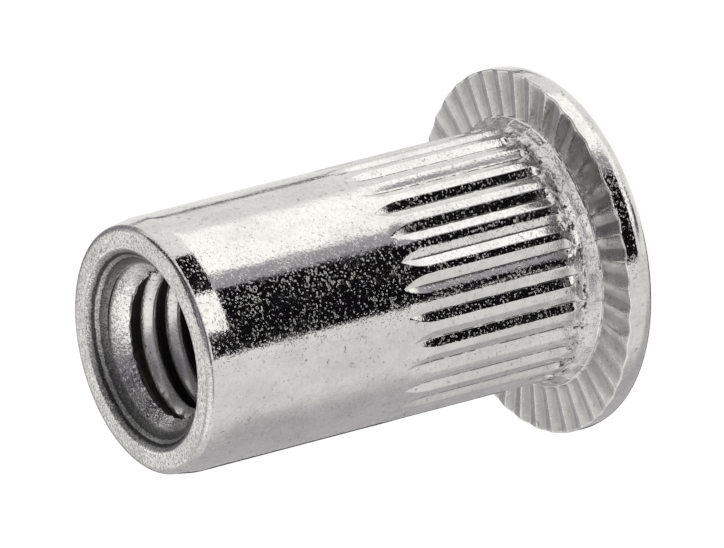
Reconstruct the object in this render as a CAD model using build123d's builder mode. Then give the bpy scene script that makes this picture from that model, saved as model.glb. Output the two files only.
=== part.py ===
from build123d import *
import math
import os

# Flat-head, open-end rivet nut, turned and rolled from one piece of steel. It stands on its head:
# the head's outer face lies at z = 0, and the axis runs up through the shank to the open nose.
# All lengths are in millimetres and all angles in degrees.

# Thread in the nose, ISO metric coarse. Its bore is cut at the minor diameter, which is smaller than
# the thread's diameter by a fixed share of the pitch.
thread_diameter = 6.0
thread_pitch = 1.0
thread_minor_share = 1.0825
thread_length = 7.0

# Shank
shank_diameter = 9.0
shank_length = 15.8
foot_radius = 0.25
nose_taper_length = 1.0
nose_taper_drop = 0.16
nose_lip_radius = 0.2

# Open mouth of the nose
mouth_diameter = 7.15
mouth_angle = 90.0
mouth_edge_radius = 0.1

# Clearance bore through the head, where the wall folds when the nut is set
clearance_diameter = 7.0
clearance_end_angle = 118.0
clearance_chamfer = 0.25

# Head. Its outer face is well rounded, and its seat has a nearly sharp edge.
head_diameter = 12.9
head_thickness = 1.3
head_face_radius = 0.85
head_seat_chamfer = 0.05

# Knurl: V-grooves along the shank, whose floors rise in an arc to the surface at both ends
knurl_count = 29
knurl_depth = 0.15
knurl_flank_angle = 65.0
knurl_nose_gap = 8.2
knurl_foot_gap = 0.45
knurl_run_in = 1.2
knurl_run_out = 0.8
knurl_turn = -93.3

# Serrations: V-grooves in the seat under the head, which point at the axis, widen outwards and
# run out through the seat's edge. The depth and the share of the pitch are those at the edge.
serration_count = 40
serration_depth = 0.13
serration_share = 0.75
serration_foot_gap = 0.28
serration_turn = -87.7

# How far the cutting tools stand out of the metal
tool_overrun = 0.1

shank_radius = shank_diameter / 2
head_radius = head_diameter / 2
nose_z = head_thickness + shank_length
minor_radius = (thread_diameter - thread_minor_share * thread_pitch) / 2
mouth_radius = mouth_diameter / 2
mouth_depth = (mouth_radius - minor_radius) / math.tan(math.radians(mouth_angle / 2))
clearance_radius = clearance_diameter / 2
clearance_cone = (clearance_radius - minor_radius) / math.tan(math.radians(clearance_end_angle / 2))
thread_end_z = nose_z - mouth_depth - thread_length


def v_outline(depth, half_width):
    """A V whose point is at the origin, carried on past its depth so that it clears the metal."""
    height = depth + tool_overrun
    spread = half_width * height / depth
    Polyline((0, 0), (spread, height), (-spread, height), close=True)


def rising_arc(length, depth):
    """Radius and angle of an arc that starts level and has risen by depth after length."""
    radius = (length**2 + depth**2) / (2 * depth)
    angle = math.degrees(math.acos(1 - (depth + tool_overrun) / radius))
    return radius, angle


# One knurl groove: a V swept along the groove's floor
floor_radius = shank_radius - knurl_depth
floor_bottom = head_thickness + foot_radius + knurl_foot_gap + knurl_run_out
floor_top = nose_z - knurl_nose_gap - knurl_run_in
run_in_radius, run_in_angle = rising_arc(knurl_run_in, knurl_depth)
run_out_radius, run_out_angle = rising_arc(knurl_run_out, knurl_depth)
knurl_half_width = knurl_depth * math.tan(math.radians(knurl_flank_angle))

with BuildPart() as knurl_groove:
    with BuildLine(Plane.XZ) as groove_floor:
        level = Line((floor_radius, floor_bottom), (floor_radius, floor_top))
        JernArc(level @ 0, (0, -1), run_out_radius, run_out_angle)
        JernArc(level @ 1, (0, 1), run_in_radius, -run_in_angle)
    with BuildSketch(Plane((floor_radius, 0, floor_bottom), x_dir=(0, 1, 0), z_dir=(0, 0, -1))):
        with BuildLine():
            v_outline(knurl_depth, knurl_half_width)
        make_face()
    sweep(path=groove_floor.line)

# One serration: its faces all run to a point on the axis, so that its section grows with the radius
serration_half_width = head_radius * math.tan(math.pi / serration_count * serration_share)

with BuildPart() as serration:
    for radius in (shank_radius + serration_foot_gap, head_radius + tool_overrun):
        share = radius / head_radius
        floor_z = head_thickness - serration_depth * share
        with BuildSketch(Plane((radius, 0, floor_z), x_dir=(0, 1, 0), z_dir=(1, 0, 0))):
            with BuildLine():
                v_outline(serration_depth * share, serration_half_width * share)
            make_face()
    loft(ruled=True)

with BuildPart() as rivet_nut:
    # Half section, from the clearance bore's mouth round the head and up the shank to the nose
    with BuildSketch(Plane.XZ) as section:
        with BuildLine():
            Polyline(
                (clearance_radius + clearance_chamfer, 0),
                (head_radius, 0),
                (head_radius, head_thickness),
                (shank_radius, head_thickness),
                (shank_radius, nose_z - nose_taper_length),
                (shank_radius - nose_taper_drop, nose_z),
                (mouth_radius, nose_z),
                (minor_radius, nose_z - mouth_depth),
                (minor_radius, thread_end_z),
                (clearance_radius, thread_end_z - clearance_cone),
                (clearance_radius, clearance_chamfer),
                close=True,
            )
        make_face()
        for corner, radius in (
            ((head_radius, 0), head_face_radius),
            ((shank_radius, head_thickness), foot_radius),
            ((shank_radius - nose_taper_drop, nose_z), nose_lip_radius),
            ((mouth_radius, nose_z), mouth_edge_radius),
        ):
            fillet(section.vertices().sort_by_distance(corner)[0], radius)
        seat_edge = section.vertices().sort_by_distance((head_radius, head_thickness))[0]
        chamfer(seat_edge, head_seat_chamfer)
    revolve(axis=Axis.Z)
    with PolarLocations(0, knurl_count, start_angle=knurl_turn):
        add(knurl_groove.part, mode=Mode.SUBTRACT)
    with PolarLocations(0, serration_count, start_angle=serration_turn):
        add(serration.part, mode=Mode.SUBTRACT)

os.makedirs("parts", exist_ok=True)
rivet_nut.part.label = "rivet_nut"
export_step(rivet_nut.part, "parts/rivet_nut.step")
print("rivet_nut", round(rivet_nut.part.volume, 2), "mm3", rivet_nut.part.bounding_box().size)
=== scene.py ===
# %% [markdown]
# # A rivet nut in zinc-plated steel
#
# A rivet nut is a threaded sleeve with a flat head. It is set from one side of a thin sheet,
# where its wall folds up and grips, and gives the sheet a thread. It is turned and rolled from
# one piece of steel, so it is one closed mesh here too. The imported model gives its sizes and its
# place, and this lesson adds what a plain solid lacks: rolled grooves with soft edges, a cut
# thread, and bright plating with a fine grain.
#
# The first step loads the imported model, and notes its box, which the sizes below are checked
# against.

# %% Load the imported model
import math

import bpy
import numpy as np
from mathutils import Matrix, Vector, noise


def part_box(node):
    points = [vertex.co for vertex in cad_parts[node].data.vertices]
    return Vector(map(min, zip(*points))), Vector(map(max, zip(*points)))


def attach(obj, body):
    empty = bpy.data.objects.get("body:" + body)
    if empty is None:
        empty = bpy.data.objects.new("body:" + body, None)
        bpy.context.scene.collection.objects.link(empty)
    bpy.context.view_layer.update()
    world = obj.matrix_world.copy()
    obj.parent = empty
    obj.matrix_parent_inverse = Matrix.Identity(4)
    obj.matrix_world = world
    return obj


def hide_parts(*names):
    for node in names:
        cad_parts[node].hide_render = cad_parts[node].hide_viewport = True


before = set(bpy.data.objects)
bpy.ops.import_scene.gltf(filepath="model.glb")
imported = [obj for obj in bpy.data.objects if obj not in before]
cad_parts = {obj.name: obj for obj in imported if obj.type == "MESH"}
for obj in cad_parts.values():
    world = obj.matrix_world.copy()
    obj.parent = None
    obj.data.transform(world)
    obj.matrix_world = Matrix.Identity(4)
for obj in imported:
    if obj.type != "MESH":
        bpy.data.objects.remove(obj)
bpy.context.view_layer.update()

cad_low, cad_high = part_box("rivet_nut")
print("packed model from", tuple(cad_low), "to", tuple(cad_high))

# %% [markdown]
# ## Sizes
#
# These are the driving sizes of the part's source, in millimetres and degrees, because a maker's
# drawing gives them that way. `MM` turns them into Blender's metres where a piece is made. The
# nut stands on its head, with its axis on Z, so every size is a distance from the axis or a
# height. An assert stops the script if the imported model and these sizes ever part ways.

# %% Sizes
MM = 0.001
SHANK_RADIUS, HEAD_RADIUS, HEAD_TOP, NOSE = 4.5, 6.45, 1.3, 17.1
MOUTH_RADIUS, MINOR_RADIUS, MAJOR_RADIUS, BORE_RADIUS = 3.575, 2.459, 3.0, 3.5
THREAD_PITCH, THREAD_END, MOUTH_END, CONE_END = 1.0, 8.984, 15.984, 8.358
TAPER_START, NOSE_RADIUS = 16.1, 4.34
KNURLS, KNURL_DEPTH, KNURL_TURN = 29, 0.15, math.radians(-93.3)
KNURL_FLANK = math.radians(65.0)
SERRATIONS, SERRATION_DEPTH, SERRATION_TURN = 40, 0.13, math.radians(-87.7)
assert abs(cad_high.z - NOSE * MM) < 1e-5 and abs(cad_high.x - HEAD_RADIUS * MM) < 1e-4
print("head", 2 * HEAD_RADIUS, "mm across, shank", 2 * SHANK_RADIUS, "mm, length", NOSE, "mm")

# %% [markdown]
# ## Helpers for turned work
#
# A turned piece is drawn as half of its section and spun once round the axis, just as a lathe
# makes it. A Bevel modifier could round the edges of the finished shape, but then it would also
# round every groove, so the corners are rounded in the section. `rounded` lists the section's
# points, and puts an arc at each corner that is given a radius.


# %% Round the corners of a section
def rounded(corners):
    """Points of a section. Each corner is (radius, height) or (radius, height, rounding, steps)."""
    points = []
    for number, corner in enumerate(corners):
        here = Vector(corner[:2])
        if len(corner) == 2:
            points.append(here)
            continue
        rounding, steps = corner[2:]
        back = (Vector(corners[number - 1][:2]) - here).normalized()
        ahead = (Vector(corners[number + 1][:2]) - here).normalized()
        half = back.angle(ahead) / 2
        centre = here + (back + ahead).normalized() * rounding / math.sin(half)
        first = here + back * rounding / math.tan(half) - centre
        last = here + ahead * rounding / math.tan(half) - centre
        sweep = math.atan2(first.cross(last), first.dot(last))
        for step in range(steps + 1):
            angle = math.atan2(first.y, first.x) + sweep * step / steps
            points.append(centre + rounding * Vector((math.cos(angle), math.sin(angle))))
    return points


example = rounded([(0.0, 1.0), (0.0, 0.0, 0.5, 2), (1.0, 0.0)])
print("a rounded corner goes through", [tuple(round(c, 2) for c in spot) for spot in example])

# %% [markdown]
# ## Drawing and spinning
#
# `draw_section` starts from one vertex, which is a plane merged into its middle, and extrudes it
# from point to point. `turn` spins that line once round the axis and merges the last row with the
# first. A Screw modifier would do the same. Spin is used because it leaves plain rows and columns
# at once, and the knurl and the serrations are pressed into those.

# %% Draw and spin a section
MERGE_DISTANCE = 0.002


def draw_section(name, points, azimuth, closed=False):
    """A line through the points, in the half plane at that azimuth."""
    spots = [Vector((r * math.cos(azimuth), r * math.sin(azimuth), z)) * MM for r, z in points]
    bpy.ops.object.select_all(action="DESELECT")
    bpy.ops.mesh.primitive_plane_add(size=MM, location=(0, 0, 0))
    line = bpy.context.object
    line.name = line.data.name = name
    bpy.ops.object.mode_set(mode="EDIT")
    bpy.ops.mesh.select_mode(type="VERT")
    bpy.ops.mesh.merge(type="CENTER")
    bpy.ops.transform.translate(value=spots[0])
    for before, after in zip(spots, spots[1:]):
        bpy.ops.mesh.extrude_region_move(TRANSFORM_OT_translate={"value": after - before})
    if closed:
        bpy.ops.mesh.select_all(action="SELECT")
        bpy.ops.mesh.edge_face_add()
        bpy.ops.mesh.delete(type="ONLY_FACE")
    bpy.ops.object.mode_set(mode="OBJECT")
    print(name, "section has", len(line.data.vertices), "points")
    return line


def turn(line, steps):
    """Spins a section line once round the Z axis and closes the seam."""
    bpy.ops.object.mode_set(mode="EDIT")
    bpy.ops.mesh.select_all(action="SELECT")
    bpy.ops.mesh.spin(steps=steps, angle=math.tau, center=(0, 0, 0), axis=(0, 0, 1))
    bpy.ops.mesh.select_all(action="SELECT")
    bpy.ops.mesh.remove_doubles(threshold=MERGE_DISTANCE * MM)
    bpy.ops.object.mode_set(mode="OBJECT")
    print(line.name, "has", len(line.data.polygons), "faces")


# %% [markdown]
# ## The shank
#
# The shank is a plain cylinder. It flares a little at its foot, where the roller squeezed metal
# against the head, and it ends in a slight taper and a rounded lip. The knurl needs mesh lines
# along every groove, so the section is spun in 16 steps for each of the 29 grooves, and its rows
# are close where grooves begin and end. Rows are far apart elsewhere, because a straight cylinder
# needs few. The line stops at two edges, where the head and the bore will meet it.

# %% Turn the shank
COLUMNS_PER_KNURL = 16
SHANK_SEAT_EDGE, SHANK_LIP_EDGE = 4.775, 3.695
FLARE_RADIUS, FLARE_SPREAD, FLARE_BASE = 4.745, 0.245, HEAD_TOP + 0.03
FLARE_HEIGHT, FLARE_STEPS = 0.57, 9
FLARE_ROUNDING, TAPER_ROUNDING, LIP_ROUNDING = 0.02, 1.6, 0.3

groove_foot_rows = [1.98, 2.04, 2.1, 2.16, 2.22, 2.29, 2.37, 2.48, 2.64, 2.84]
groove_rows = [3.3, 4.2, 5.2, 6.2, 7.0, 7.55]
groove_tip_rows = [7.8 + 0.09 * step for step in range(18)]
plain_rows = [9.7, 11.0, 12.5, 14.0, 15.3]

shank_corners = [(SHANK_SEAT_EDGE, HEAD_TOP), (FLARE_RADIUS, FLARE_BASE, FLARE_ROUNDING, 3)]
for step in range(1, FLARE_STEPS):
    narrowed = FLARE_RADIUS - FLARE_SPREAD * step / FLARE_STEPS
    shank_corners.append((narrowed, FLARE_BASE + FLARE_HEIGHT * step / FLARE_STEPS))
shank_corners.append((SHANK_RADIUS + 0.005, 1.91))
for row in groove_foot_rows + groove_rows + groove_tip_rows + plain_rows:
    shank_corners.append((SHANK_RADIUS, row))
shank_corners.append((SHANK_RADIUS, TAPER_START, TAPER_ROUNDING, 5))
shank_corners.append((NOSE_RADIUS, NOSE, LIP_ROUNDING, 11))
shank_corners += [(lip_row, NOSE) for lip_row in (3.98, 3.85, SHANK_LIP_EDGE)]
shank = draw_section("shank", rounded(shank_corners), KNURL_TURN)
turn(shank, KNURLS * COLUMNS_PER_KNURL)

# %% [markdown]
# ## Helpers for pressed patterns
#
# A roller or a die moves metal, and the mesh is treated the same way: its vertices are read as a
# distance from the axis, an azimuth and a height, moved by a formula, and written back. Cutting
# 29 grooves with Booleans would work too, but it leaves ragged triangles and razor edges that
# real pressed metal hasn't.


# %% Read, move and write vertices
def read_places(piece):
    """Distance from the axis, azimuth and height of every vertex, in millimetres and radians."""
    flat = np.empty(len(piece.data.vertices) * 3, np.float32)
    piece.data.vertices.foreach_get("co", flat)
    x, y, z = flat.reshape(-1, 3).T.astype(float) / MM
    return np.hypot(x, y), np.arctan2(y, x), z


def write_places(piece, radius, azimuth, height):
    """Puts every vertex at its new distance, azimuth and height."""
    flat = np.stack([radius * np.cos(azimuth), radius * np.sin(azimuth), height], 1) * MM
    piece.data.vertices.foreach_set("co", flat.astype(np.float32).ravel())
    piece.data.update()


def ramp(value, low, high):
    """0 below low, 1 above high, and a smooth S between them."""
    share = np.clip((value - low) / (high - low), 0, 1)
    return share * share * (3 - 2 * share)


def soft_part(value, rounding):
    """The part of value that is above zero, with a rounded corner where it begins."""
    return 0.5 * (value + np.sqrt(value**2 + rounding**2))


def near_pattern(azimuth, turn_angle, count):
    """Number of the nearest groove, and how far from its middle each azimuth lies, in pitches."""
    place = (azimuth - turn_angle) * count / math.tau
    return np.round(place).astype(int) % count, place - np.round(place)


radius, azimuth, height = read_places(shank)
number, place = near_pattern(azimuth, KNURL_TURN, KNURLS)
print("shank reaches from", round(height.min(), 3), "to", round(height.max(), 3), "mm")

# %% [markdown]
# ## The knurl
#
# A hard roller presses V-grooves into the shank so that the nut grips its hole. No two real
# grooves are the same, because the roller is worn and the blank is never quite round, so each
# groove gets a slightly different tip, foot, depth and place. The numbers come from one seeded
# generator, so that they are the same on every run.

# %% Make the grooves uneven
KNURL_TIP, KNURL_FOOT = 8.9, 2.0
shop = np.random.RandomState(29)
knurl_tips = KNURL_TIP + shop.uniform(-0.16, 0.16, KNURLS)
knurl_feet = KNURL_FOOT + shop.uniform(-0.08, 0.08, KNURLS)
knurl_depths = KNURL_DEPTH * (1 + shop.uniform(-0.07, 0.07, KNURLS))
knurl_shifts = shop.uniform(-0.012, 0.012, KNURLS)
print("groove tips from", round(knurl_tips.min(), 2), "to", round(knurl_tips.max(), 2), "mm")

# %% [markdown]
# ## The form of one groove
#
# A groove is deepest in its middle, and its floor rises in an arc to a point at both ends,
# because the roller is round. Across, it is a V with a rounded floor and rounded edges, and the
# metal that the roller pushes aside stands up beside it as a thin rim. Written as two functions,
# this form can be tried at any point of the shank, whatever the mesh there.

# %% Depth of the floor, and depth beside it
RUN_IN, RUN_OUT = 1.2, 0.4
RUN_PAST, END_DROP = 1.6, 0.25
FLOOR_ROUNDING, FLOOR_SINK, EDGE_ROUNDING = 0.016, 0.01, 0.012
RIM_HEIGHT, RIM_OFFSET, RIM_WIDTH = 0.007, 0.055, 0.045


def knurl_floor(number, height):
    """Depth of a groove's floor at a height. It falls below zero past the groove's ends."""
    to_tip = np.clip((height - (knurl_tips[number] - RUN_IN)) / RUN_IN, 0, RUN_PAST)
    to_foot = np.clip((knurl_feet[number] + RUN_OUT - height) / RUN_OUT, 0, RUN_PAST)
    past_end = np.clip(to_tip - 1, 0, 1) + np.clip(to_foot - 1, 0, 1)
    return knurl_depths[number] * (1 - to_tip**2) * (1 - to_foot**2) - END_DROP * past_end


def knurl_cut(number, sideways, height):
    """How far the surface sinks, in millimetres, at a distance sideways from a groove's middle."""
    slope = 1 / math.tan(KNURL_FLANK)
    floor = knurl_floor(number, height)
    inside = floor - slope * (np.sqrt(sideways**2 + FLOOR_ROUNDING**2) - FLOOR_SINK)
    cut = soft_part(inside, EDGE_ROUNDING) * ramp(inside, -0.08, -0.03)
    edge = np.clip(floor, 0, None) / slope
    rim = RIM_HEIGHT * np.exp(-(((np.abs(sideways) - edge - RIM_OFFSET) / RIM_WIDTH) ** 2))
    return cut - rim * ramp(floor, -0.02, 0.03)


print("groove 0 is", round(float(knurl_cut(0, 0.0, 5.0)), 3), "mm deep in its middle")

# %% [markdown]
# ## Gathering the mesh lines
#
# The spun columns are evenly spaced, but a groove narrows to a point at its ends. If the columns
# stayed even, its edges would cross them and look like a saw. So the eight columns on each side
# of a groove's middle are moved sideways first: they follow the groove's half width, close
# together at its floor and its edge, and spread out evenly again above the knurl.

# %% Gather the columns along the grooves
COLUMN_PLACES = [0.0, 0.07, 0.34, 0.66, 0.9, 1.0, 1.1, 1.28]
NARROWEST = 0.16

pitch = math.tau / KNURLS
half_pitch = pitch * SHANK_RADIUS / 2
full_half_width = KNURL_DEPTH * math.tan(KNURL_FLANK)
half_width = np.clip(knurl_floor(number, height) / KNURL_DEPTH, NARROWEST, 1) * full_half_width
column = np.abs(place) * COLUMNS_PER_KNURL
gathered = np.interp(column, range(8), COLUMN_PLACES) * half_width
gathered += np.clip(column - 7, 0, 1) * (half_pitch - COLUMN_PLACES[-1] * half_width)
even = column / 8 * half_pitch
loose = ramp(height, 8.7, 9.7)
sideways = np.sign(place) * (gathered * (1 - loose) + even * loose)
print("grooves", round(2 * full_half_width, 2), "mm wide,", round(2 * half_pitch, 2), "mm apart")

# %% [markdown]
# ## The squeezed foot
#
# At the foot the rolled metal had nowhere to go. It stands up in a small mound where each groove
# ends, and the flare is lumpy and not quite round. A Displace modifier with a noise texture would
# lump the whole shank; done by hand, the lumps fade out before the knurl, and the mounds stay
# lined up with the grooves.

# %% Raise mounds and lumps at the foot
LUMP_HEIGHT, LUMPS_PER_MM = 0.016, 3.2
MOUND_HEIGHT, MOUND_DROP, MOUND_WIDTH = 0.034, 0.1, 0.09
FLARE_TOP = 2.3


def lump(radius, azimuth, height):
    """Cloudy unevenness at one place, from three octaves of noise, between about -1 and 1."""
    spot = Vector((radius * math.cos(azimuth), radius * math.sin(azimuth), height))
    return noise.fractal(spot * LUMPS_PER_MM, 0.6, 2.0, 3)


lumps = LUMP_HEIGHT * np.array([lump(*spot) for spot in zip(radius, azimuth, height)])
lumps *= ramp(height, 1.36, 1.5) * (1 - ramp(height, 2.05, FLARE_TOP))
below_foot = (height - knurl_feet[number] + MOUND_DROP) / MOUND_WIDTH
mounds = MOUND_HEIGHT * np.exp(-(below_foot**2) - (place * 2.6) ** 4)
out_of_round = 0.018 * np.sin(azimuth * 23 + 1.3) + 0.014 * np.sin(azimuth * 41)
out_of_round *= ramp(radius, 4.6, 4.74) * (height > HEAD_TOP + 0.01)
radius += np.where(height < FLARE_TOP, mounds + lumps, 0) + out_of_round
print("lumps of up to", round(float(np.abs(lumps).max()), 3), "mm")

# %% [markdown]
# ## Sinking the grooves
#
# Each column now has its place beside a groove. The new azimuth and the cut are written back
# together, so a vertex moves once, sideways and inwards. The flare is left out, because the
# roller doesn't reach it.

# %% Roll the knurl
FLARE_STARTS = 0.045
on_shank = radius < SHANK_RADIUS + FLARE_STARTS
azimuth = KNURL_TURN + number * pitch + (sideways + knurl_shifts[number]) / SHANK_RADIUS
radius = radius - np.where(on_shank, knurl_cut(number, sideways, height), 0)
write_places(shank, radius, azimuth, height)
middle_rows = (height > 3) & (height < 7)
print("deepest groove", round(float(SHANK_RADIUS - radius[middle_rows].min()), 3), "mm")

# %% [markdown]
# ## The head
#
# The head is a thin disc with a generously rounded outer face and a nearly sharp edge at the
# seat, as a cold-formed head has. Its section is spun in 12 steps for each serration, so that
# mesh lines run along the little V-grooves under it.

# %% Turn the head
COLUMNS_PER_SERRATION = 12
HEAD_FACE_EDGE, HEAD_SEAT_EDGE = 3.8, 4.8
FACE_ROUNDING, SEAT_ROUNDING, RIM_FOOT = 0.85, 0.05, 0.92

face_rows = [HEAD_FACE_EDGE, 4.4, 5.0]
rim_rows = [RIM_FOOT, 1.0, 1.06, 1.12]
seat_rows = [6.2, 5.95, 5.7, 5.45, 5.2, 4.95, 4.87, 4.83, 4.81, HEAD_SEAT_EDGE]
head_corners = [(row, 0) for row in face_rows] + [(HEAD_RADIUS, 0, FACE_ROUNDING, 14)]
head_corners += [(HEAD_RADIUS, row) for row in rim_rows]
head_corners.append((HEAD_RADIUS, HEAD_TOP, SEAT_ROUNDING, 4))
head_corners += [(row, HEAD_TOP) for row in seat_rows]
head = draw_section("head", rounded(head_corners), SERRATION_TURN)
turn(head, SERRATIONS * COLUMNS_PER_SERRATION)

# %% [markdown]
# ## The serrations
#
# Forty V-grooves in the seat bite into the sheet and stop the nut from turning. They point at the
# axis and grow wider and deeper outwards, until they fade a little near the rim. They are pressed
# in like the knurl, by moving vertices: columns gather at the edges and floors of the grooves,
# and the rows of the rim are carried down with the seat, so that the grooves run out through its
# edge.

# %% Press the serrations
SERRATION_SHARE, SERRATION_FLOOR, SERRATION_EDGE = 0.95, 0.07, 0.02
SERRATION_PLACES = [0.0, 0.09, 0.24, 0.45, 0.68, 0.86, 1.0]
serration_depths = SERRATION_DEPTH * (1 + shop.uniform(-0.12, 0.12, SERRATIONS))


def serration_cut(number, share, radius):
    """How far the seat sinks. share is the distance from the groove's middle, in half pitches."""
    depth = serration_depths[number] * ramp(radius, 4.8, 4.84) * (1 - 0.4 * ramp(radius, 6.0, 6.45))
    inside = depth * (1 - np.sqrt(share**2 + SERRATION_FLOOR**2) / SERRATION_SHARE)
    return soft_part(inside, SERRATION_EDGE) * ramp(inside, -0.05, -0.01) * radius / HEAD_RADIUS


radius, azimuth, height = read_places(head)
number, place = near_pattern(azimuth, SERRATION_TURN, SERRATIONS)
column = np.abs(place) * COLUMNS_PER_SERRATION
share = np.interp(column, range(7), SERRATION_PLACES) * np.sign(place)
azimuth = SERRATION_TURN + (number + share / 2) * math.tau / SERRATIONS
carried = np.clip((height - RIM_FOOT) / (HEAD_TOP - SEAT_ROUNDING - RIM_FOOT), 0, 1)
height = height - carried * serration_cut(number, share, radius)
write_places(head, radius, azimuth, height)
on_seat_edge = (radius > 6) & (carried == 1)
print("deepest serration", round(float(HEAD_TOP - height[on_seat_edge].min()), 3), "mm")

# %% [markdown]
# ## The bore
#
# The bore is open right through: a 45 degree mouth, the bore that the thread is cut in, a
# drill-point cone, and the wider clearance bore behind it, where the wall folds when the nut is
# set. It is smooth until the tap comes, so an even 128 steps are enough.

# %% Turn the bore
BORE_STEPS = 128
BORE_LIP_EDGE, BORE_FACE_EDGE = 3.68, 3.75
MOUTH_ROUNDING, FACE_CHAMFER = 0.16, 0.25

mouth_rows = [(3.3, 16.825), (3.0, 16.525), (2.7, 16.225)]
thread_rows = [MOUTH_END - THREAD_PITCH * step for step in range(7)]
bore_corners = [(BORE_LIP_EDGE, NOSE), (MOUTH_RADIUS, NOSE, MOUTH_ROUNDING, 8)] + mouth_rows
bore_corners += [(MINOR_RADIUS, row) for row in thread_rows + [THREAD_END]]
bore_corners += [(BORE_RADIUS, row) for row in (CONE_END, 6.0, 4.0, 2.0, FACE_CHAMFER)]
bore_corners.append((BORE_FACE_EDGE, 0))
bore = draw_section("bore", rounded(bore_corners), 0.0)
turn(bore, BORE_STEPS)

# %% [markdown]
# ## One closed piece
#
# The three turned skins stop just short of each other in three rings: round the foot, on the lip
# and on the head's outer face. There `bridge_edge_loops` joins two loops of different counts. It
# leaves no seam that shows, because a ring so narrow and flat reflects evenly whatever its
# triangles are. Merging the loops would need equal counts, and would force the knurl's fine
# columns on the whole nut.

# %% Join the skins
bpy.ops.object.select_all(action="DESELECT")
for skin in (shank, head, bore):
    skin.select_set(True)
bpy.context.view_layer.objects.active = shank
bpy.ops.object.join()
nut = bpy.context.object
nut.name = nut.data.name = "rivet_nut_finished"
print("joined skins have", len(nut.data.vertices), "vertices")

# %% Bridge the rings
RING_SLACK, LEVEL_SLACK = 0.02, 0.01


def bridge_ring(piece, height, inner, outer):
    """Bridges the two open loops at that height whose radii are inner and outer."""
    bpy.ops.object.mode_set(mode="EDIT")
    bpy.ops.mesh.select_mode(type="VERT")
    bpy.ops.mesh.select_all(action="DESELECT")
    bpy.ops.mesh.select_non_manifold()
    bpy.ops.object.mode_set(mode="OBJECT")
    radius, _, level = read_places(piece)
    in_ring = (radius > inner - RING_SLACK) & (radius < outer + RING_SLACK)
    for vertex, kept in zip(piece.data.vertices, in_ring & (np.abs(level - height) < LEVEL_SLACK)):
        vertex.select = vertex.select and bool(kept)
    for edge in piece.data.edges:
        edge.select = all(piece.data.vertices[v].select for v in edge.vertices)
    bpy.ops.object.mode_set(mode="EDIT")
    bpy.ops.mesh.select_mode(type="EDGE")
    bpy.ops.mesh.bridge_edge_loops()
    bpy.ops.object.mode_set(mode="OBJECT")


bridge_ring(nut, HEAD_TOP, SHANK_SEAT_EDGE, HEAD_SEAT_EDGE)
bridge_ring(nut, NOSE, BORE_LIP_EDGE, SHANK_LIP_EDGE)
bridge_ring(nut, 0.0, BORE_FACE_EDGE, HEAD_FACE_EDGE)
bpy.ops.object.mode_set(mode="EDIT")
bpy.ops.mesh.select_all(action="SELECT")
bpy.ops.mesh.normals_make_consistent(inside=False)
bpy.ops.mesh.select_all(action="DESELECT")
bpy.ops.mesh.select_non_manifold()
bpy.ops.object.mode_set(mode="OBJECT")
print("closed:", not any(vertex.select for vertex in nut.data.vertices))

# %% [markdown]
# ## The tap
#
# A tap cuts the thread, so a tap is modelled: a ridge that the Screw modifier winds up the axis,
# one pitch for each turn. Its section is a V with a slightly blunt point, and its foot is shaped
# so that the crests it leaves in the nut are rounded, as burrs and plating make them. The ridge
# could be cut along the bore without a tap, but then the thread's run-out would have to be made
# by hand.

# %% Draw the tap's ridge
THREAD_TURN = math.radians(94.0)
TAP_START, TAP_INNER = THREAD_END + 0.6, 2.4

upper_side = [(MAJOR_RADIUS, 0.033), (2.97, 0.073), (2.8, 0.165), (2.71, 0.222), (2.64, 0.278)]
upper_side += [(2.58, 0.333), (2.53, 0.385), (2.49, 0.436), (2.466, 0.47), (TAP_INNER, 0.482)]
ridge = [(r, -z) for r, z in reversed(upper_side)] + upper_side
tap = draw_section("tap", [(r, z + TAP_START) for r, z in ridge], THREAD_TURN, closed=True)

# %% [markdown]
# ## Winding the tap
#
# A Boolean needs a closed solid. The wound ridge is open at its two ends, so both get a face. Its
# first turn is drawn in towards the core, as on a real tap, and there the thread fades out in the
# bore.

# %% Wind the tap and close its ends
TAP_STEPS, TAP_TURNS = 96, 9
screw = tap.modifiers.new("thread_helix", "SCREW")
screw.axis = "Z"
screw.angle = math.tau
screw.screw_offset = THREAD_PITCH * MM
screw.iterations = TAP_TURNS
screw.steps = screw.render_steps = TAP_STEPS
bpy.ops.object.modifier_apply(modifier=screw.name)
bpy.ops.object.mode_set(mode="EDIT")
bpy.ops.mesh.select_all(action="SELECT")
bpy.ops.mesh.remove_doubles(threshold=MERGE_DISTANCE * MM)
lower_end, upper_end = (0.0, TAP_START + 1.0), (TAP_START + 7.0, 30.0)
for low, high in (lower_end, upper_end):
    bpy.ops.mesh.select_all(action="DESELECT")
    bpy.ops.mesh.select_non_manifold()
    bpy.ops.object.mode_set(mode="OBJECT")
    for vertex in tap.data.vertices:
        vertex.select = vertex.select and low < vertex.co.z / MM < high
    bpy.ops.object.mode_set(mode="EDIT")
    bpy.ops.mesh.edge_face_add()
bpy.ops.mesh.select_all(action="SELECT")
bpy.ops.mesh.normals_make_consistent(inside=False)
bpy.ops.object.mode_set(mode="OBJECT")
print("tap has", len(tap.data.polygons), "faces")

# %% Draw its first turn in
CORE_GAP, SMALLEST = 0.1, 0.25
radius, azimuth, height = read_places(tap)
size = SMALLEST + (1 - SMALLEST) * ramp(height, TAP_START - 0.6, TAP_START + 1.1)
radius = TAP_INNER - CORE_GAP + (radius - TAP_INNER + CORE_GAP) * size
write_places(tap, radius, azimuth, height)
print("tap reaches from", round(height.min(), 2), "to", round(height.max(), 2), "mm")

# %% [markdown]
# ## The thread
#
# The Boolean takes the tap out of the nut, exactly as the shop does. Where a tap first bites, it
# tears the metal a little, so the crest of the first turn is made ragged by a few sine waves
# whose counts share no factor, and so don't repeat round the bore. Smooth shading by angle keeps
# the crisp edges crisp.

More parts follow.
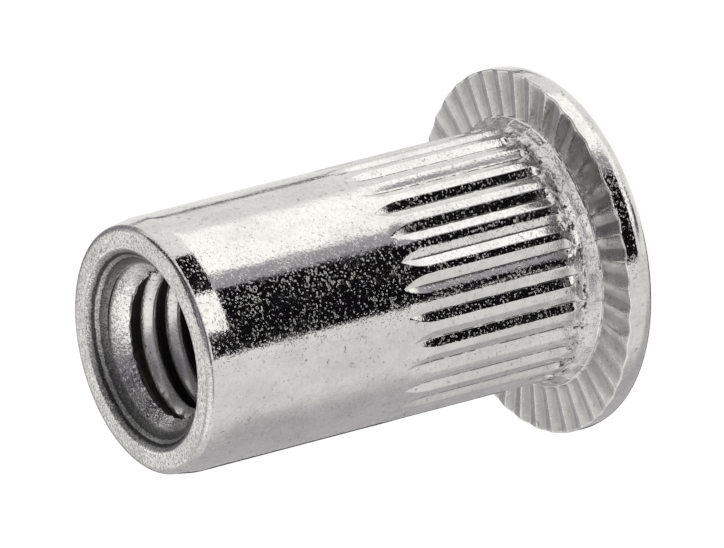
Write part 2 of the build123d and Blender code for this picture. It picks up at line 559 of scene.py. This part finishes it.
# %% Cut the thread
SHARP_ANGLE = math.radians(32)
TEAR_DEPTH, TEAR_RADIUS = 0.03, 2.9
bpy.ops.object.select_all(action="DESELECT")
nut.select_set(True)
bpy.context.view_layer.objects.active = nut
cut = nut.modifiers.new("thread_cut", "BOOLEAN")
cut.object = tap
cut.operation = "DIFFERENCE"
cut.solver = "EXACT"
bpy.ops.object.modifier_apply(modifier=cut.name)
bpy.data.objects.remove(tap, do_unlink=True)

radius, azimuth, height = read_places(nut)
torn = sum(np.sin(azimuth * waves + waves**2) for waves in (17, 29, 43, 61)) / 2
first_turn = ramp(height, 15.3, 15.6) * (1 - ramp(height, 16.1, 16.3)) * (radius < TEAR_RADIUS)
write_places(nut, radius + TEAR_DEPTH * torn * first_turn, azimuth, height)
bpy.ops.object.shade_smooth_by_angle(angle=SHARP_ANGLE)
print("nut has", len(nut.data.polygons), "faces")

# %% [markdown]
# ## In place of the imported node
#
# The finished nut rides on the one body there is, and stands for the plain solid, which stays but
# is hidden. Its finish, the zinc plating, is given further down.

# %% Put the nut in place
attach(nut, "root")
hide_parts("rivet_nut")
print(nut.name, "stands for rivet_nut")

# %% [markdown]
# ## Helpers for node trees
#
# The finish and the light are both built from small nodes. `node` adds one and fills its inputs
# with numbers or with other nodes' sockets, `maths` is the same for a Math node, and `smooth` is
# a soft step between two values. They keep each effect down to a few readable lines. A Mix node
# has inputs for every kind of value, so they are given by number: 0 is the factor, 2 and 3 are
# the two numbers that it mixes, and 6 and 7 the two colours.


# %% Add nodes
def node(tree, kind, inputs=(), **settings):
    """Adds a node. Each input is a number, a colour, a vector or another node's output socket."""
    new = tree.nodes.new("ShaderNode" + kind)
    for key, value in settings.items():
        setattr(new, key, value)
    for key, value in dict(inputs).items():
        if isinstance(value, bpy.types.NodeSocket):
            tree.links.new(value, new.inputs[key])
        else:
            new.inputs[key].default_value = value
    return new


def maths(tree, operation, *values):
    """The result of a Math node."""
    return node(tree, "Math", enumerate(values), operation=operation).outputs[0]


def smooth(tree, value, low, high, start=0.0, end=1.0):
    """Goes from start to end in a smooth S while value goes from low to high."""
    inputs = {"Value": value, "From Min": low, "From Max": high, "To Min": start, "To Max": end}
    return node(tree, "MapRange", inputs, interpolation_type="SMOOTHSTEP").outputs[0]


# %% [markdown]
# ## Zinc plating
#
# The whole nut is one material, so its differences from place to place are masks. Object
# coordinates are turned into millimetres first, and then into a distance from the axis, an
# azimuth and a height, which say where on the nut a point lies: on the plain shank, in a groove,
# in the mouth or in the bore. Painted vertex colours could say that too, but only as finely as
# the mesh.

# %% Where on the nut
zinc = bpy.data.materials.new("zinc_plated_steel")
zinc.use_nodes = True
plating = zinc.node_tree
shader = plating.nodes["Principled BSDF"]
objects = node(plating, "TexCoord").outputs["Object"]
place_mm = node(plating, "VectorMath", {0: objects, 3: 1 / MM}, operation="SCALE").outputs[0]
x, y, level = node(plating, "SeparateXYZ", {0: place_mm}).outputs
squares = [maths(plating, "MULTIPLY", side, side) for side in (x, y)]
across = maths(plating, "SQRT", maths(plating, "ADD", *squares))
around = maths(plating, "ARCTAN2", y, x)
print("places are read by", len(plating.nodes) - 2, "nodes")

# %% [markdown]
# ## Noise and arithmetic
#
# Much of what makes metal look real is noise at some scale. `clouding` gives it in repeats per
# millimetre, and can squeeze or stretch it along the axis, because turning and rolling leave
# marks that lie round the nut or along it. `product` and `total` join values in one line.


# %% Noise, products and sums
def clouding(scale, detail=2.0, stretch=(1.0, 1.0, 1.0), roughness=0.55):
    """Noise over the nut, with its scale in repeats per millimetre."""
    where = node(plating, "VectorMath", {0: place_mm, 1: stretch}, operation="MULTIPLY").outputs[0]
    inputs = {"Vector": where, "Scale": scale, "Detail": detail, "Roughness": roughness}
    return node(plating, "TexNoise", inputs).outputs[0]


def product(first, *others):
    """Several masks multiplied together."""
    for other in others:
        first = maths(plating, "MULTIPLY", first, other)
    return first


def total(*values):
    """The sum of two values."""
    return maths(plating, "ADD", *values)


broad_noise, fine_noise = clouding(0.9, detail=3.0), clouding(10.0, 1.5, (1.0, 1.0, 1.5))
print("first noises take", len(plating.nodes) - 2, "nodes with their places")

# %% [markdown]
# ## Masks
#
# A mask is 1 where an effect belongs and 0 elsewhere. `above`, `below` and `band` make one from a
# value, and `only_on` and `less` turn a mask into a tone that the base colour is multiplied by.
# Every edge is soft, since nothing on worn metal ends at a line.


# %% Make masks
def above(value, low, high):
    """0 below low and 1 above high."""
    return smooth(plating, value, low, high)


def below(value, low, high):
    """1 below low and 0 above high."""
    return smooth(plating, value, low, high, 1.0, 0.0)


def band(value, low, high, edge):
    """1 while value lies between low and high, and 0 outside, with soft edges."""
    return product(above(value, low - edge, low + edge), below(value, high - edge, high + edge))


def only_on(mask, tone):
    """The tone where the mask is 1, and 1 elsewhere."""
    return node(plating, "Mix", {0: mask, 2: 1.0, 3: tone}).outputs[0]


def less(mask, share):
    """1, less that share where the mask is 1."""
    return maths(plating, "SUBTRACT", 1.0, product(mask, share))


outer_skin = above(across, 4.2, 4.25)
at_foot = product(band(level, 1.75, 2.2, 0.12), outer_skin)
on_flare = product(band(level, 1.34, 2.2, 0.04), outer_skin)
at_mouth = product(above(level, 15.7, 15.9), below(across, 4.15, 4.25))
print("masks so far take", len(plating.nodes) - 2, "nodes")

# %% [markdown]
# ## The grain of the plating
#
# Under a lens the plating is a crust of crystals about a tenth of a millimetre across, each
# tilted its own way, so that a dark reflection sparkles and its edges fray. Two Bump nodes give
# that. The grain is a noise cut off in steep steps, which tilts small specks and leaves flats
# between them, more of them in some places than in others, with a plain fine noise added. The
# broad bump is a shallow noise that makes long reflections waver. Rolled and torn places, the
# flare and the mouth, get a stronger grain.

# %% Grain and waviness
GRAIN_DEPTH, WAVE_DEPTH = 0.0036 * MM, 0.008 * MM
FLARE_GRAIN, MOUTH_GRAIN = 1.4, 3.0

density = smooth(plating, broad_noise, 0.35, 0.65, start=-0.04, end=0.035)
crystals = clouding(9.5, detail=1.0, stretch=(1.0, 1.0, 1.3), roughness=0.6)
specks_up = above(total(crystals, density), 0.58, 0.72)
grain = total(specks_up, fine_noise)
rougher = total(product(on_flare, FLARE_GRAIN), product(at_mouth, MOUTH_GRAIN))
grain_height = product(grain, total(1.0, rougher))
grain_bump = node(plating, "Bump", {"Distance": GRAIN_DEPTH, "Height": grain_height})
waves = clouding(1.3, detail=2.0, stretch=(1.0, 1.0, 0.6))
wave_bump = node(plating, "Bump", {"Distance": WAVE_DEPTH, "Height": waves})
for bump in (grain_bump, wave_bump):
    bump.inputs["Strength"].default_value = 1.0
plating.links.new(wave_bump.outputs[0], grain_bump.inputs["Normal"])
plating.links.new(grain_bump.outputs[0], shader.inputs["Normal"])
print("grain is up to", round(GRAIN_DEPTH / MM * 1000, 1), "micrometres for each unit of height")

# %% [markdown]
# ## Clouds, flecks and specks
#
# Bright zinc is never one even tone. Faint clouds and a finer mottle come from the bath, flecks
# are thin places in the coat, and the few dark specks are pits. A Voronoi texture gives one speck
# to a cell, and the cell's own random colour chooses which cells have one; noise added to the
# distance makes them ragged.

# %% Clouds, flecks and specks
cloud_noise = clouding(0.7, detail=6.0, stretch=(1.0, 1.0, 0.6), roughness=0.7)
clouds = smooth(plating, cloud_noise, 0.38, 0.6, start=0.89, end=1.0)
mottle_noise = clouding(5.0, detail=5.0, stretch=(1.0, 1.0, 1.3), roughness=0.75)
mottle = smooth(plating, mottle_noise, 0.38, 0.56, start=0.92, end=1.0)
fleck_noise = clouding(4.0, detail=7.0, stretch=(1.0, 1.0, 1.3), roughness=0.8)
flecks = smooth(plating, fleck_noise, 0.36, 0.41, start=0.4, end=1.0)

cells = node(plating, "TexVoronoi", {"Vector": place_mm, "Scale": 2.6})
lot = node(plating, "SeparateColor", {0: cells.outputs["Color"]}).outputs[0]
ragged = total(cells.outputs["Distance"], product(clouding(14.0, detail=3.0), 0.16))
speck = product(above(lot, 0.52, 0.56), below(ragged, 0.1, 0.15))
print("plating now has", len(plating.nodes), "nodes")

# %% [markdown]
# ## Grit, pits, dark groove floors and painted shade on the seat
#
# The cut and faced lip is gritty, the foot of the knurl is pitted where the rolled metal was
# squeezed, and the floors of the grooves are darker in patches. The azimuth, wrapped once for
# each groove, gives the distance from a groove's middle, so the dark floors follow the grooves
# without any of them being drawn again. The whole seat is painted darker as painted shade, and
# the floors of its serrations darker still than the ridges between them; there the height alone
# is enough.

# %% Grit, pits, dark groove floors and the seat's painted shade
grit = clouding(16.0, detail=3.0, roughness=0.7)
on_lip = product(above(level, 16.85, 16.95), above(across, 3.6, 3.66))
lip_grit = smooth(plating, grit, 0.36, 0.56, start=0.62, end=0.95)
pit_noise = clouding(3.6, detail=4.0, stretch=(1.0, 1.0, 1.6), roughness=0.65)
pits = smooth(plating, pit_noise, 0.38, 0.46, start=0.12, end=1.0)

grooves_round = product(maths(plating, "SUBTRACT", around, KNURL_TURN), KNURLS / math.tau)
off_middle = maths(plating, "ABSOLUTE", maths(plating, "WRAP", grooves_round, 0.5, -0.5))
in_groove = product(outer_skin, below(across, 4.36, 4.43), below(level, 9.6, 9.8))
patchy = above(clouding(3.0), 0.35, 0.5)
dark_groove_floors = product(below(off_middle, 0.012, 0.04), in_groove, patchy)

seat_ring = product(above(across, 4.77, 4.79), below(across, 6.36, 6.4))
on_seat = product(seat_ring, above(level, 1.0, 1.05))
seat_level = total(level, product(across, 0.004))
# painted shade: the whole seat is darker, and the floors of its serrations darker still
seat_painted_shade = smooth(plating, seat_level, HEAD_TOP - 0.07, HEAD_TOP, start=0.62, end=0.8)
print("plating now has", len(plating.nodes), "nodes")

# %% [markdown]
# ## Rings in the mouth
#
# The countersink chattered and left dark rings in the mouth, where dirt collects. Their tones lie
# on a Color Ramp that is read by the distance from the axis, so each ring is one stop. Noise
# makes them wander, and the grit roughens them.

# %% Rings in the mouth
RAMP_START, RING_WANDER = 2.8, 0.13
RING_STOPS = (
    (0.0, 0.9),
    (0.12, 0.8),
    (0.18, 0.3),
    (0.39, 0.13),
    (0.42, 0.5),
    (0.5, 0.6),
    (0.53, 0.08),
    (0.6, 0.1),
    (0.65, 0.5),
    (0.75, 0.85),
)
ring_noise = clouding(4.0, detail=5.0, roughness=0.8)
wander = product(maths(plating, "SUBTRACT", ring_noise, 0.5), RING_WANDER)
from_start = total(maths(plating, "SUBTRACT", across, RAMP_START), wander)
ring = node(plating, "ValToRGB", {0: from_start})
for number, (spot, tone) in enumerate(RING_STOPS):
    stop = ring.color_ramp.elements[number] if number < 2 else ring.color_ramp.elements.new(spot)
    stop.position = spot
    stop.color = (tone, tone, tone, 1)
in_mouth = product(above(level, 16.1, 16.3), below(across, 3.56, 3.6))
gritty = smooth(plating, grit, 0.38, 0.6, start=0.55, end=1.25)
ring_tone = only_on(in_mouth, product(ring.outputs[0], gritty))
print("mouth has", len(ring.color_ramp.elements), "stops over", RAMP_START, "mm and outwards")

# %% [markdown]
# ## The thread's flanks and crests
#
# The flanks of the thread are painted dark, as painted shade, because little light reaches them.
# The crests stay light, and are duller and a little less metallic, because plating builds up on
# them. Both are bands by distance from the axis, inside the length that is threaded.

# %% Flanks and crests
in_thread = band(level, 8.9, 15.7, 0.15)
# painted shade: the thread's flanks are darkened in the colour, as little light reaches them
flank_painted_shade = product(in_thread, band(across, 2.76, 3.1, 0.03))
crest = product(in_thread, below(across, 2.66, 2.74))
print("plating now has", len(plating.nodes), "nodes")

# %% [markdown]
# ## Colour, roughness and metal
#
# All the tones multiply the pale, slightly warm grey of zinc, and some of them are painted shade.
# Darker places are rougher, because dirt and pits scatter light, and the painted shade is made
# rougher along with them; clouded places are a little rougher too. The shader stays in the
# material itself, and only sockets that change over the surface are linked.

# %% Colour, roughness and metal
ZINC = (0.8, 0.796, 0.782, 1)
tone = product(
    clouds,
    mottle,
    flecks,
    less(speck, 0.75),
    less(dark_groove_floors, 0.8),
    # painted shade on the seat
    only_on(on_seat, seat_painted_shade),
    only_on(on_lip, lip_grit),
    only_on(at_foot, pits),
    # painted shade on the thread's flanks
    less(flank_painted_shade, 0.92),
    ring_tone,
)
inputs = {0: 1.0, 6: ZINC, 7: tone}
colour = node(plating, "Mix", inputs, data_type="RGBA", blend_type="MULTIPLY").outputs[2]
dark_places = smooth(plating, tone, 0.5, 0.95, start=0.3, end=0.0)
clouded = smooth(plating, clouds, 0.9, 1.0, start=0.09, end=0.055)
roughness = total(total(dark_places, product(total(crest, on_flare), 0.13)), clouded)
plating.links.new(colour, shader.inputs["Base Color"])
plating.links.new(roughness, shader.inputs["Roughness"])
plating.links.new(less(crest, 0.2), shader.inputs["Metallic"])
nut.data.materials.clear()
nut.data.materials.append(zinc)
print("plating has", len(plating.nodes), "nodes")

# %% [markdown]
# ## The floor
#
# The nut stands on plain white paper. Its white is its own colour as the camera sees it, from
# Light Path's Is Camera Ray, with a little diffuse on top so that it takes the nut's shadow. A
# bright lamp could whiten the paper too, but it would burn out the metal. The paper lies a
# hundredth of a millimetre under the head, because two faces in one plane flicker. Reflections
# don't see it, because the shank mirrors the panels that hang below the horizon.

# %% Lay the paper
PAPER_SIZE, PAPER_DROP, PAPER_GLOW = 4.0, 0.01, 0.93
PAPER_GREY = (0.12, 0.12, 0.12, 1)
bpy.ops.object.select_all(action="DESELECT")
bpy.ops.mesh.primitive_plane_add(size=PAPER_SIZE, location=(0, 0, -PAPER_DROP * MM))
floor = bpy.context.object
floor.name = "floor"
floor.visible_glossy = False

paper = bpy.data.materials.new("floor_paper")
paper.use_nodes = True
tree = paper.node_tree
tree.nodes.remove(tree.nodes["Principled BSDF"])
seen = node(tree, "LightPath").outputs["Is Camera Ray"]
glow = node(tree, "Emission", {"Strength": maths(tree, "MULTIPLY", seen, PAPER_GLOW)})
diffuse = node(tree, "BsdfDiffuse", {"Color": PAPER_GREY})
both = node(tree, "AddShader", {0: diffuse.outputs[0], 1: glow.outputs[0]})
tree.links.new(both.outputs[0], tree.nodes["Material Output"].inputs["Surface"])
floor.data.materials.append(paper)
print("paper is", PAPER_SIZE, "m wide")

# %% [markdown]
# ## Dark under the bore
#
# On a bench no light comes up through the nut. Here the glowing paper would send some, so a black
# disc closes the bore's lower end as painted shade: it stands for the dark floor under the nut.
# The camera doesn't see it; only reflections and shadows do.

# %% Close the bore's lower end
SHADE_DISC_RADIUS, SHADE_DISC_LIFT = 3.7, 0.02
bpy.ops.object.select_all(action="DESELECT")
bpy.ops.mesh.primitive_circle_add(
    vertices=48, radius=SHADE_DISC_RADIUS * MM, fill_type="NGON", location=(0, 0, SHADE_DISC_LIFT * MM)
)
# painted shade: a black disc standing for the dark floor under the nut
shade_disc = bpy.context.object
shade_disc.name = "bore_shade_disc"
shade_disc.visible_camera = False
dark = bpy.data.materials.new("bore_shade_disc")
dark.use_nodes = True
dark_shader = dark.node_tree.nodes["Principled BSDF"]
dark_shader.inputs["Base Color"].default_value = (0.01, 0.01, 0.01, 1)
dark_shader.inputs["Roughness"].default_value = 1.0
shade_disc.data.materials.append(dark)
print("bore is closed below at", SHADE_DISC_LIFT, "mm")

# %% [markdown]
# ## The light
#
# Polished metal shows the room, so the room is the lighting. The world is painted as a light
# tent: an even pale surround with soft panels laid over it. Area lamps could stand in for the
# panels, but a panel painted on the world has exactly the edge and the tone that it is given.
# First come the azimuth and the level of each direction, in degrees.

# %% Directions in the world
world = bpy.data.worlds.new("light_tent")
bpy.context.scene.world = world
world.use_nodes = True
tent = world.node_tree
direction = node(tent, "TexCoord").outputs["Generated"]
east, north, up = node(tent, "SeparateXYZ", {0: direction}).outputs
azimuth_now = maths(tent, "DEGREES", maths(tent, "ARCTAN2", north, east))
level_now = maths(tent, "DEGREES", maths(tent, "ARCSINE", up))
print("tent reads its directions with", len(tent.nodes) - 2, "nodes")

# %% [markdown]
# ## One panel
#
# A panel is a mask over a stretch of azimuth and a stretch of level, and inside it the light so
# far gives way to the panel's own strength. Wrapping the azimuth about the panel's middle lets it
# cross the place where 180 degrees turns into -180.


# %% Lay a panel
def panel(light, azimuth, level, strength, soft, level_soft):
    """Lays a panel over the light so far. azimuth and level are (from, to) in degrees."""
    turned = maths(tent, "SUBTRACT", azimuth_now, sum(azimuth) / 2)
    turned = maths(tent, "WRAP", turned, 180.0, -180.0)
    lifted = maths(tent, "SUBTRACT", level_now, sum(level) / 2)
    masks = []
    for value, (start, end), edge in ((turned, azimuth, soft), (lifted, level, level_soft)):
        off_middle = maths(tent, "ABSOLUTE", value)
        half = (end - start) / 2
        masks.append(smooth(tent, off_middle, half - edge, half + edge, 1.0, 0.0))
    inside = maths(tent, "MULTIPLY", *masks)
    change = maths(tent, "MULTIPLY", inside, maths(tent, "SUBTRACT", strength, light))
    return maths(tent, "ADD", light, change)


print("tent is ready for its panels, with", len(tent.nodes), "nodes")

# %% [markdown]
# ## All the panels
#
# The camera looks from an azimuth of -90 degrees and 30 degrees up. An upright wall that faces it
# mirrors the tent 30 degrees below the horizon, and a wall turned by some angle mirrors it twice
# that angle round, so the shank's panels lie low. The taper leans back a little and mirrors a
# level of about -12, and the level faces mirror the far side, 30 degrees up. The near seat and
# the mouth see the rest of the nut and the tent above it. A later panel covers an earlier one.

# %% Hang the panels
SURROUND = 0.9
PANELS = (
    # Azimuth, level, strength, softness in azimuth, softness in level.
    # Far side: grey sheets for the serrations' slopes, and a bright one for the level faces
    ((40, 150), (-14, 27), 0.62, 14, 8),
    ((30, 89), (-14, 20), 0.3, 5, 8),
    ((98, 150), (38, 68), 0.6, 10, 8),
    ((64, 116), (26, 37), 1.15, 5, 3),
    # Low and to the -X side: the shank's light grey half, and the dark line along its outline
    ((105, 205), (-70, -12), 0.5, 14, 10),
    ((91, 107), (-60, -10), 0.04, 2, 5),
    ((-180, -116), (-70, -6), 0.8, 16, 10),
    # Above: dark sheets for the near seat and the foot, and a bright one for the mouth
    ((-150, -60), (18, 44), 0.2, 8, 3),
    ((-60, 30), (18, 44), 0.05, 8, 3),
    ((-112, -60), (46, 86), 0.3, 6, 3),
    ((150, 238), (30, 64), 1.15, 6, 4),
    ((-60, 0), (46, 86), 0.08, 8, 3),
    # Low and in front: the shank's white sheet, its thin dark line, its grey edge and its black gap
    ((-42, 12), (-42, -19), 1.24, 3, 3),
    ((48, 54), (-38, -22), 0.12, 1.5, 3),
    ((-55, -40), (-48, -20), 0.42, 2, 3),
    ((-104, -42), (-90, -62), 0.14, 8, 6),
    ((-112, -54), (-46, -19), 0.006, 1.0, 1.5),
    ((-92, -10), (-66, -45), 1.22, 5, 2),
    # Near the horizon, in front: white between two black gaps, for the taper at the nose
    ((-91, -54), (-20, 6), 1.22, 1.0, 1.5),
    ((-56, -17), (-18, -4), 0.006, 1.0, 1.5),
    ((-112, -91), (-20, -4), 0.006, 1.0, 1.5),
)
light = SURROUND
for settings in PANELS:
    light = panel(light, *settings)
print("tent has", len(PANELS), "panels")

# %% [markdown]
# ## Colour of the light
#
# Dark parts of the tent are a touch violet and light ones a touch warm, as cloth and card are.
# Only glossy rays see the panels. Everything else sees plain white at a strength of 1, which
# leaves the paper white.

# %% Colour the light
SHADE_TINT, LIGHT_TINT, WHITE = (0.9, 0.84, 1.0, 1), (1.0, 0.992, 0.965, 1), (1, 1, 1, 1)
glossy = node(tent, "LightPath").outputs["Is Glossy Ray"]
bright = smooth(tent, light, 0.0, 0.8)
tint = node(tent, "Mix", {0: bright, 6: SHADE_TINT, 7: LIGHT_TINT}, data_type="RGBA").outputs[2]
tinted = node(tent, "Mix", {0: glossy, 6: WHITE, 7: tint}, data_type="RGBA").outputs[2]
strength = node(tent, "Mix", {0: glossy, 2: 1.0, 3: light}).outputs[0]
background = tent.nodes["Background"]
tent.links.new(tinted, background.inputs["Color"])
tent.links.new(strength, background.inputs["Strength"])
print("tent has", len(tent.nodes), "nodes")

# %% [markdown]
# ## The camera
#
# A small part is drawn with a long lens from well back, so that its sides stay nearly parallel.
# The lens looks down on the open nose at an angle of 59.63 degrees from the axis, and the camera
# is rolled until the upright nut lies across the view with its nose to the lower left. It aims
# beside the nose, at the middle of the nut's length, by moving sideways instead of turning, so
# the lens needs no shift.

# %% Place the camera
ANGLE_FROM_AXIS, ROLL = math.radians(59.63), math.radians(194.426)
DISTANCE, ASIDE, UPWARD = 571.95, 7.563057, 2.625848
LENS, SENSOR = 832.87292, 36.0
sin_roll, cos_roll = math.sin(ROLL), math.cos(ROLL)
sin_angle, cos_angle = math.sin(ANGLE_FROM_AXIS), math.cos(ANGLE_FROM_AXIS)
camera_right = Vector((sin_roll, cos_roll * cos_angle, cos_roll * sin_angle))
camera_up = Vector((-cos_roll, sin_roll * cos_angle, sin_roll * sin_angle))
camera_back = Vector((0, -sin_angle, cos_angle))
from_nose = camera_back * DISTANCE + camera_right * ASIDE + camera_up * UPWARD
bpy.ops.object.camera_add(location=(Vector((0, 0, NOSE)) + from_nose) * MM)
camera = bpy.context.object
axes = np.array([camera_right, camera_up, camera_back]).T
camera.rotation_euler = Matrix(axes.tolist()).to_euler()
camera.data.sensor_width = SENSOR
camera.data.lens = LENS
camera.data.clip_start, camera.data.clip_end = 0.01, 10
bpy.context.scene.camera = camera
bpy.context.scene.view_settings.view_transform = "Standard"
print("camera at", tuple(round(c, 4) for c in camera.location), "with a lens of", round(LENS), "mm")
